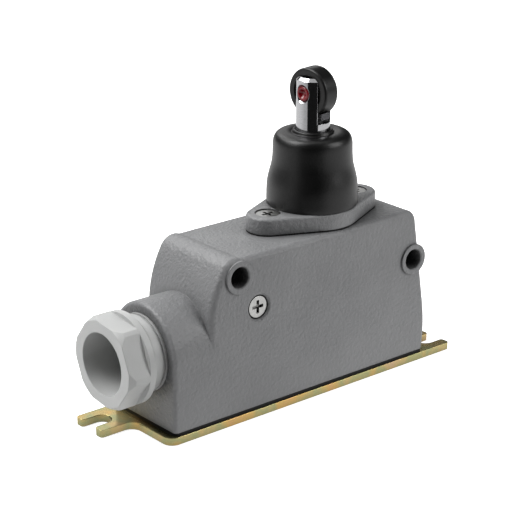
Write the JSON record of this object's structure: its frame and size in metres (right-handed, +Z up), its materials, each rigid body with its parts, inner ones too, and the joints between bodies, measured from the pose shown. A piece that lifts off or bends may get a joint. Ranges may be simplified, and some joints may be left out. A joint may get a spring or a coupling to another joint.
{
  "type": "limit switch",
  "caption": "Roller-plunger limit switch: cast housing with a sprung roller plunger in a rubber boot, a cable gland on one end and a slotted steel base plate.",
  "frame": {"origin": "where the plunger's axis meets the underside of the base plate", "axes": "+Z up along the plunger, -X out of the cable gland, -Y out of the face with the lock screw"},
  "size_m": [0.108, 0.0266, 0.0843],
  "materials": {
    "enamel": "hammered grey enamel, slightly glossy",
    "zinc_plate": "yellow chromated zinc",
    "gasket_rubber": "matt",
    "boot_rubber": "satin moulded rubber",
    "sheet_insulation": "fibre sheet",
    "screw_steel": "zinc plated",
    "washer_steel": "zinc plated",
    "spring_steel": "drawn wire",
    "chrome": "polished",
    "ground_steel": "ground",
    "pin_end_red": "steel pin, ends sealed with red lacquer",
    "roller_plastic": "satin black",
    "bronze": "sintered bronze",
    "gland_plastic": "light grey, satin",
    "gland_washer_plastic": "grey, satin",
    "switch_plastic": "moulded phenolic",
    "button_plastic": "moulded",
    "brass": "plain",
    "copper_blade": "spring bronze",
    "silver": "silver"
  },
  "bodies": {
    "root": {"base_gasket": "gasket_rubber", "base_plate": "zinc_plate", "base_screws": "screw_steel", "boot_clamp_washer": "washer_steel", "cable_seal": "boot_rubber", "closed_terminal": "brass", "common_terminal": "brass", "earth_screw": "screw_steel", "earth_washer": "washer_steel", "fixed_contacts": "silver", "gland_screw": "gland_plastic", "gland_washer": "gland_washer_plastic", "guide_bush": "bronze", "head_flange": "enamel", "head_gasket": "gasket_rubber", "head_screws": "screw_steel", "housing": "enamel", "insulator_sheet": "sheet_insulation", "lock_screw": "screw_steel", "open_terminal": "brass", "overtravel_spring": "spring_steel", "return_spring": "spring_steel", "rubber_boot": "boot_rubber", "switch_bracket": "washer_steel", "switch_case": "switch_plastic", "switch_cover": "switch_plastic", "switch_screws": "screw_steel", "terminal_screws": "screw_steel", "thrust_rings": "washer_steel"},
    "plunger_lift": {"spring_seat": "washer_steel"},
    "plunger": {"plunger": "chrome", "plunger_clip": "washer_steel", "roller_pin": "pin_end_red", "pin_retainer": "washer_steel"},
    "roller": {"roller": "roller_plastic", "roller_bush": "bronze"},
    "push_pin": {"push_pin": "ground_steel"},
    "switch_button": {"switch_button": "button_plastic"},
    "snap_blade": {"snap_blade": "copper_blade", "moving_contact": "silver"}
  },
  "joints": [
    {"name": "plunger_slide", "type": "slide", "parent": "root", "child": "plunger_lift", "axis": [0, 0, -1], "range_m": [0, 0.005], "stiffness_N_per_m": 1500, "springref_m": -0.004, "deforming": ["rubber_boot", "return_spring", "overtravel_spring"]},
    {"name": "plunger_turn", "type": "hinge", "parent": "plunger_lift", "child": "plunger", "pos_m": [0, 0, 0.06], "axis": [0, 0, 1], "continuous": true},
    {"name": "roller_spin", "type": "hinge", "parent": "plunger", "child": "roller", "pos_m": [0, 0, 0.0779], "axis": [0.9925, 0.1219, 0], "continuous": true},
    {"name": "push_pin_slide", "type": "slide", "parent": "root", "child": "push_pin", "axis": [0, 0, -1], "range_m": [0, 0.0006]},
    {"name": "button_slide", "type": "slide", "parent": "root", "child": "switch_button", "axis": [0, 0, -1], "range_m": [0, 0.0006]},
    {"name": "blade_tilt", "type": "hinge", "parent": "root", "child": "snap_blade", "pos_m": [-0.022, 0, 0.0158], "axis": [0, 1, 0], "range_deg": [0, 1.4]}
  ],
  "couplings": [
    {"joint": "push_pin_slide", "follows": "plunger_slide", "ratio": 0.1},
    {"joint": "button_slide", "follows": "plunger_slide", "ratio": 0.1},
    {"joint": "blade_tilt", "follows": "plunger_slide", "rad_per_m": 4.54}
  ]
}
